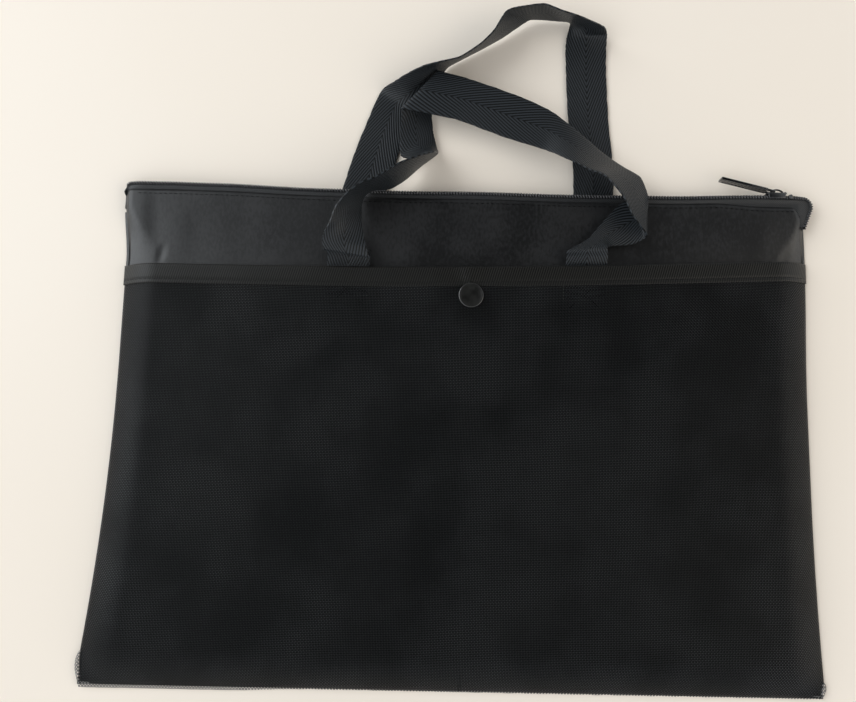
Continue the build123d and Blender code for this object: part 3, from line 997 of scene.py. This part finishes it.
def pull_piece():
    """A thin plate with a rim and ribs, and an eye of two arms and a cross pin."""
    bm = bmesh.new()
    half = 3.0 * MM
    thin = 0.5 * MM
    eye = 4.3 * MM
    rim = 0.9 * MM
    block(bm, (eye, -thin, -half), (PULL_LENGTH, thin, half), 0.35 * MM)
    for side in (-1, 1):
        z = side * (half - rim / 2)
        block(bm, (eye, -0.8 * MM, z - rim / 2), (PULL_LENGTH - 0.3 * MM, 0.8 * MM, z + rim / 2), 0.25 * MM)
        z = side * 2.1 * MM
        block(bm, (-0.5 * MM, -0.6 * MM, z - 0.7 * MM), (eye + 0.8 * MM, 0.6 * MM, z + 0.7 * MM), 0.3 * MM)
    block(bm, (-0.6 * MM, -0.6 * MM, -2.6 * MM), (0.6 * MM, 0.6 * MM, 2.6 * MM), 0.35 * MM)
    block(bm, (PULL_LENGTH - 1.6 * MM, -0.8 * MM, -half), (PULL_LENGTH, 0.8 * MM, half), 0.3 * MM)
    ribs = 12
    for i in range(ribs):
        x = lerp(eye + 2.0 * MM, PULL_LENGTH - 3.0 * MM, i / (ribs - 1))
        block(bm, (x - 0.4 * MM, -0.75 * MM, -half + rim), (x + 0.4 * MM, 0.75 * MM, half - rim), 0.2 * MM, 2)
    held = Matrix.Translation(PIVOT) @ Matrix.Rotation(PULL_ANGLE, 4, "Z")
    bmesh.ops.transform(bm, verts=bm.verts, matrix=held)
    return finish_piece(bm, "pull_ribbed", enamel)


fit(pull_piece(), "pull_tab", "zipper_pull")

# %% [markdown]
# The snap's cap is turned: half of its section is drawn as a few points, and spin sweeps it
# round the axis. The rim stands a little above a dished face and catches the light.

# %% Snap cap
cap_low, cap_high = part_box("snap_cap")
CAP_CENTRE = Vector(((cap_low.x + cap_high.x) / 2, (cap_low.y + cap_high.y) / 2, 0))
CAP_BASE_Z = cap_high.z - 2.4 * MM
CAP_STEPS = 56


def turned(name, profile, centre, material):
    """Spin a section of (radius, height) points, from axis to axis, round +Z."""
    bm = bmesh.new()
    verts = [bm.verts.new((radius, 0, height)) for radius, height in profile]
    edges = [bm.edges.new(pair) for pair in zip(verts, verts[1:])]
    bmesh.ops.spin(
        bm, geom=verts + edges, cent=(0, 0, 0), axis=(0, 0, 1), angle=math.tau, steps=CAP_STEPS,
        use_merge=True,
    )
    bmesh.ops.remove_doubles(bm, verts=bm.verts, dist=0.001 * MM)
    bmesh.ops.recalc_face_normals(bm, faces=bm.faces)
    bmesh.ops.translate(bm, vec=centre, verts=bm.verts)
    return finish_piece(bm, name, material)


cap_profile = [
    (0.0, 1.95 * MM), (3.0 * MM, 1.98 * MM), (5.4 * MM, 2.08 * MM), (6.2 * MM, 2.2 * MM),
    (6.6 * MM, 2.32 * MM), (6.95 * MM, 2.3 * MM), (7.25 * MM, 2.1 * MM), (7.4 * MM, 1.7 * MM),
    (7.4 * MM, 0.9 * MM), (7.2 * MM, 0.45 * MM), (6.6 * MM, 0.25 * MM), (0.0, 0.1 * MM),
]
snap_cap = turned("snap_cap_turned", cap_profile, CAP_CENTRE + Vector((0, 0, CAP_BASE_Z)), acetal)
fit(snap_cap, "snap_cap", "pocket_mouth")

# %% [markdown]
# Each handle is one length of 25 mm webbing. Its shape is a list of stations, each a pair of
# opposite edge points in millimetres, in order from the left end to the right end; where the
# strap folds, the pair lies on the fold. A smooth curve through the stations places a grid of
# cloth, and a small ripple makes the woven selvage.

# %% Webbing helper
SUPPLE = 0.34
SELVAGE_RIPPLE = 0.15 * MM
SELVAGE_STEP = 2.0 * MM
ROWS_PER_SPAN = 7
STRAP_COLUMNS = 12


def through(a, b, c, d, t):
    """A curve from b to c that also looks at its neighbours a and d; stiff webbing bends little."""
    leave = (c - a) * SUPPLE
    arrive = (d - b) * SUPPLE
    square, cube = t * t, t ** 3
    return (
        b * (2 * cube - 3 * square + 1) + leave * (cube - 2 * square + t)
        + c * (3 * square - 2 * cube) + arrive * (cube - square)
    )


def strap(name, stations, points_back=False):
    """A strap through edge-point pairs; its UV map holds width share and length in metres."""
    left = [Vector(pair[0]) * MM for pair in stations]
    right = [Vector(pair[1]) * MM for pair in stations]
    spans = len(stations) - 1
    rows = spans * ROWS_PER_SPAN

    def edge_at(points, share):
        place = clamp(share * spans, 0, spans - 1e-6)
        i = int(place)
        a, b, c, d = (points[clamp(i + k, 0, spans)] for k in (-1, 0, 1, 2))
        return through(a, b, c, d, place - i)

    lengths = [0.0]
    for r in range(rows):
        here = (edge_at(left, r / rows) + edge_at(right, r / rows)) / 2
        there = (edge_at(left, (r + 1) / rows) + edge_at(right, (r + 1) / rows)) / 2
        lengths.append(lengths[-1] + (there - here).length)
    bm = bmesh.new()
    uv = bm.loops.layers.uv.new("UVMap")
    bmesh.ops.create_grid(bm, x_segments=STRAP_COLUMNS, y_segments=rows, size=0.5, calc_uvs=True)
    for face in bm.faces:
        for loop in face.loops:
            row = round((loop.vert.co.y + 0.5) * rows)
            length = lengths[-1] - lengths[row] if points_back else lengths[row]
            loop[uv].uv = (loop.vert.co.x + 0.5, length)
    for vertex in bm.verts:
        u, v = vertex.co.x + 0.5, vertex.co.y + 0.5
        a, b = edge_at(left, v), edge_at(right, v)
        length = lengths[round(v * rows)]
        reach = u - 0.5
        if abs(reach) > 0.49:
            ripple = SELVAGE_RIPPLE * math.sin(length / SELVAGE_STEP * math.tau)
            reach *= 1 + ripple / (WEBBING_WIDTH / 2)
        vertex.co = (a + b) / 2 + (b - a) * reach
    piece = finish_piece(bm, name, webbing)
    thicken(piece, 0.85 * MM, 0.0)
    rim = piece.modifiers.new("soft_rim", "BEVEL")
    rim.width = 0.25 * MM
    rim.segments = 2
    rim.limit_method = "ANGLE"
    rim.angle_limit = math.radians(60)
    print(name, len(piece.data.polygons), "faces,", round(lengths[-1] / MM), "mm long")
    return piece, lengths[-1]


# %% [markdown]
# The front handle comes out from under the binding, bulges up, stands on edge over the zipper,
# folds back at its far left corner, crosses over the rear handle and folds again at the right
# before it goes back under the binding.

# %% Front handle
FRONT_ROUTE = [
    ((-83.5, 80, 9.05), (-58.5, 80, 9.05)),
    ((-83.5, 92, 9.05), (-58.5, 92, 9.05)),
    ((-83.2, 98, 9.6), (-57.6, 98, 9.6)),
    ((-82.8, 103, 11.2), (-57.5, 103, 11.2)),
    ((-83.2, 106.5, 15), (-57.2, 105.5, 14.5)),
    ((-84.1, 104.4, 21), (-57.2, 100.8, 19)),
    ((-84.6, 109, 24.5), (-59.3, 106.2, 21.5)),
    ((-82.9, 113, 28.5), (-61.1, 113.4, 19)),
    ((-79.8, 117.5, 32), (-62.9, 122.7, 16)),
    ((-76.2, 127, 33), (-63.7, 131.8, 12.5)),
    ((-70.1, 134.7, 33.5), (-62.9, 138.7, 10.5)),
    ((-62.3, 141, 33.8), (-60.2, 143, 9.6)),
    ((-55, 144, 33.6), (-56.2, 144.8, 9.3)),
    ((-47.1, 149.1, 33.2), (-46.3, 146.4, 9)),
    ((-40.3, 153.8, 32.5), (-38, 152.2, 8)),
    ((-28.9, 159.5, 29.8), (-29.1, 161.8, 5)),
    ((-20.8, 163.3, 26.2), (-18.8, 171.3, 2.6)),
    ((-25.5, 164.4, 21), (-19.1, 174.6, 2.6)),
    ((-34.5, 163.6, 14), (-20.1, 179.1, 2.6)),
    ((-41, 168, 7.5), (-21.5, 185.6, 2.6)),
    ((-42, 179, 5.5), (-22.5, 195.5, 2.8)),
    ((-41.4, 189, 6.5), (-21.8, 206, 4.5)),
    ((-40.9, 196.2, 9.2), (-19.9, 220.5, 9.2)),
    ((-41, 196, 11.2), (-19.3, 221.2, 11.4)),
    ((-39, 195.3, 13), (-17.5, 219.8, 13.4)),
    ((-8.4, 189.2, 14), (0.4, 214.8, 14)),
    ((19, 178.9, 15), (27.9, 205, 15)),
    ((46.2, 169.8, 17), (50.4, 194.7, 15)),
    ((60.3, 159.8, 26), (70.7, 179.1, 14)),
    ((70.4, 153.7, 28.3), (81.7, 169.9, 13)),
    ((79.4, 149.9, 29), (93.3, 161.9, 12.8)),
    ((89.7, 139.2, 27), (104.1, 155.2, 13)),
    ((96.1, 127.9, 25), (107.6, 145.5, 14)),
    ((103.9, 120.5, 20), (107.8, 140.5, 16)),
    ((106.4, 118.6, 16.8), (107.2, 144.6, 14.6)),
    ((105.4, 116.8, 13.6), (103.4, 145, 13)),
    ((98.8, 113.8, 12.6), (92.6, 139, 12.4)),
    ((87.9, 112.3, 14), (81.5, 127.5, 13)),
    ((83.6, 111.2, 16.5), (71.9, 115.8, 15.2)),
    ((83, 109.2, 17), (59.8, 108.2, 16.6)),
    ((84, 105.8, 13.5), (59.5, 105.4, 13.5)),
    ((84.1, 100, 10.3), (59.4, 100, 10.3)),
    ((83.5, 92, 9.05), (58.5, 92, 9.05)),
    ((83.5, 80, 9.05), (58.5, 80, 9.05)),
]
front_handle, front_length = strap("front_handle_strap", FRONT_ROUTE, points_back=True)
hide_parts("front_handle_loop", "front_handle_ends")
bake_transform(front_handle)

# %% [markdown]
# The rear handle comes out of the top hem behind the zipper and lies on the table. It makes
# half a twist at the upper left, a flat band at the top and a square corner into its right leg.

# %% Rear handle
REAR_ROUTE = [
    ((-84, 122, 1.45), (-59, 120, 1.45)),
    ((-80.5, 136, 1.45), (-54, 134.5, 1.45)),
    ((-76.2, 148.5, 1.4), (-49.2, 148, 1.4)),
    ((-71.4, 167, 0.75), (-44.9, 162.4, 0.75)),
    ((-63.5, 189.9, 0.75), (-40.2, 182, 0.75)),
    ((-54.8, 212, 1), (-34.4, 196.5, 0.75)),
    ((-45.3, 214.5, 11), (-27.5, 204, 0.75)),
    ((-36.3, 217, 17.5), (-21.5, 212.5, 0.75)),
    ((-27.3, 219, 22.3), (-17.8, 222.1, 0.8)),
    ((-17.2, 220.9, 24.1), (-12.9, 229.4, 1)),
    ((-6.4, 224.2, 23.6), (-3.5, 235.2, 1)),
    ((5.5, 232.6, 23.7), (9.6, 242.7, 1.2)),
    ((13.8, 241.4, 24), (20.9, 249.4, 1.8)),
    ((18.2, 249.5, 23.6), (29.1, 255.3, 2.4)),
    ((21.2, 255.6, 21.2), (37.6, 261, 3.2)),
    ((25.6, 258.2, 20.8), (42.6, 262, 2.6)),
    ((34, 259.3, 21.9), (48.8, 262.2, 2)),
    ((44.7, 259.9, 23.3), (56.5, 261.9, 1.6)),
    ((54.9, 255.6, 23.9), (62.3, 261.8, 1.2)),
    ((66.5, 253, 22.2), (64.6, 260.8, 0.9)),
    ((82.4, 250.6, 15.3), (63.6, 256.6, 0.8)),
    ((86.8, 251.6, 5.2), (62, 250.6, 0.8)),
    ((87, 243.1, 1.4), (61.4, 242.6, 0.8)),
    ((87, 226.8, 0.75), (61.7, 226.1, 0.75)),
    ((88, 198.2, 0.75), (62.9, 197.6, 0.75)),
    ((90.3, 170.8, 0.75), (65.6, 170.2, 0.75)),
    ((90.7, 148.5, 1.4), (65.8, 148, 1.4)),
    ((87, 134, 1.45), (61.5, 136, 1.45)),
    ((84, 120, 1.45), (59, 120, 1.45)),
]
rear_handle, rear_length = strap("rear_handle_strap", REAR_ROUTE)
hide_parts("rear_handle_loop", "rear_handle_ends")
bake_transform(rear_handle)

# %% [markdown]
# All layers are sewn together along the sides and the bottom. A little of the mesh's raw edge
# stands out beyond the cloth there, and bulges into a small ear at both bottom corners; the
# table shows through it, and its threads are painted pale grey as a painted glint.

# %% Sewn edges
def edge_strip(name, count, place, material):
    piece = sheet(name, count, 6, place, material, 0.3 * MM, 0.0)
    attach(piece, "root")
    return piece


def side_edge(side):
    def place(u, v):
        y = lerp(BOTTOM_Y, 130 * MM, u)
        reach = lerp(-1.5 * MM, 0.3 * MM, v)
        return Vector((side * (half_width(side, y) + reach), y, lerp(1.5, 0.5, v) * MM))
    return place


def ear(side, foot, length, bulge):
    """A pinched tuft of raw mesh beside a bottom corner, foot above it, length long."""
    def place(u, v):
        y = BOTTOM_Y + foot + length * u
        out = bulge * math.sin(math.pi * u) ** 0.7
        x = half_width(side, y) + lerp(-1.2 * MM, out, v)
        return Vector((side * x, y, (0.5 + 1.6 * math.sin(math.pi * v)) * MM))
    return place


def bottom_edge(u, v):
    x = across(u, BOTTOM_Y, -0.5 * MM)
    ragged = 0.3 * MM * noise.noise(Vector((x * 160, 2.0, 0.0)))
    shown = lerp(1.8 * MM, 0.4 * MM, ease(above(x, -135 * MM, 50 * MM)))
    reach = lerp(-1.5 * MM, shown + ragged, v)
    return Vector((x, BOTTOM_Y - reach, lerp(1.5, 0.6, v) * MM))


LEFT_EAR = (1.5 * MM, 17 * MM, 2.7 * MM)
RIGHT_EAR = (1.0 * MM, 8 * MM, 2.2 * MM)
seam_left = edge_strip("seam_edge_left", 220, side_edge(-1), nylon)
seam_right = edge_strip("seam_edge_right", 220, side_edge(1), nylon)
seam_bottom = edge_strip("seam_edge_bottom", 300, bottom_edge, edge_cloth_with_glint)
edge_strip("ear_left", 24, ear(-1, *LEFT_EAR), edge_cloth_with_glint)
edge_strip("ear_right", 16, ear(1, *RIGHT_EAR), edge_cloth_with_glint)
for piece, node in ((seam_left, "seam_left"), (seam_right, "seam_right"), (seam_bottom, "seam_bottom")):
    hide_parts(node)

# %% [markdown]
# The CAD nodes that stay as they are, mostly hidden parts of the snap and the box stitching,
# take the same finishes as the pieces beside them.

# %% Finishes of the kept nodes
KEPT = {
    "front_handle_stitching": thread_fibre,
    "rear_handle_stitching": thread_fibre,
    "snap_stud": acetal,
    "snap_back_cap": acetal,
    "snap_socket": acetal,
}
for node, material in KEPT.items():
    frame["nodes"][node].data.materials.clear()
    frame["nodes"][node].data.materials.append(material)
print("kept nodes:", len(KEPT))

# %% [markdown]
# The stage is a plain pale table under soft light: a large window-like source from the left, a
# weaker one from the right, and a dim surround. Straight overhead stays dark, so the middle
# of the case reads deep black while its sloping edges catch a cool sheen.

# %% Table and light
def table_top():
    material, tree, shader = new_shader("table", (0.90, 0.84, 0.76), 0.6, Specular_IOR_Level=0.2)
    mottle = remap(tree, grain(tree, 3.0, 2.0), 0.3, 0.7)
    paint(tree, shader, mottle, dark=(0.875, 0.79, 0.69), light=(0.895, 0.815, 0.72))
    bm = bmesh.new()
    bmesh.ops.create_grid(bm, x_segments=4, y_segments=4, size=2.0)
    bmesh.ops.translate(bm, vec=(0, 0, -0.3 * MM), verts=bm.verts)
    return finish_piece(bm, "table_top", material)


def area_light(name, place, target, size, power, colour):
    data = bpy.data.lights.new(name, "AREA")
    data.shape = "RECTANGLE"
    data.size, data.size_y = size
    data.energy = power
    data.color = colour
    light = bpy.data.objects.new(name, data)
    light.location = place
    light.rotation_euler = (Vector(target) - Vector(place)).to_track_quat("-Z", "Y").to_euler()
    bpy.context.scene.collection.objects.link(light)


def room_light(horizon, zenith, left, right, front):
    """A soft room: dark straight overhead, with wide glows on the left, the right and in front."""
    world = bpy.data.worlds.new("room")
    world.use_nodes = True
    tree = world.node_tree
    x, y, z = axes(tree, "Generated")
    strength = remap(tree, z, 0.5, 0.93, horizon, zenith)
    for glow in (
        remap(tree, x, -0.60, -0.12, left, 0.0),
        remap(tree, x, 0.30, 0.65, 0.0, right),
        remap(tree, y, -0.60, -0.15, front, 0.0),
    ):
        strength = maths(tree, "ADD", strength, glow)
    background = tree.nodes["Background"]
    background.inputs["Color"].default_value = (0.94, 0.97, 1.0, 1.0)
    tree.links.new(strength, background.inputs["Strength"])
    bpy.context.scene.world = world


table_top()
area_light(
    "window_left", place=(-1.45, 0.5, 0.9), target=(-0.1, 0, 0), size=(1.5, 1.5), power=18.5,
    colour=(0.92, 0.97, 1.0),
)
area_light(
    "lamp_right", place=(1.6, -0.3, 0.9), target=(0.1, 0, 0), size=(1.4, 1.4), power=8.5,
    colour=(1.0, 0.88, 0.72),
)
room_light(horizon=0.4, zenith=0.005, left=0.98, right=0.52, front=0.42)
print("stage ready")

# %% Strap lengths
print("strap lengths", round(front_length / MM), round(rear_length / MM), "mm")
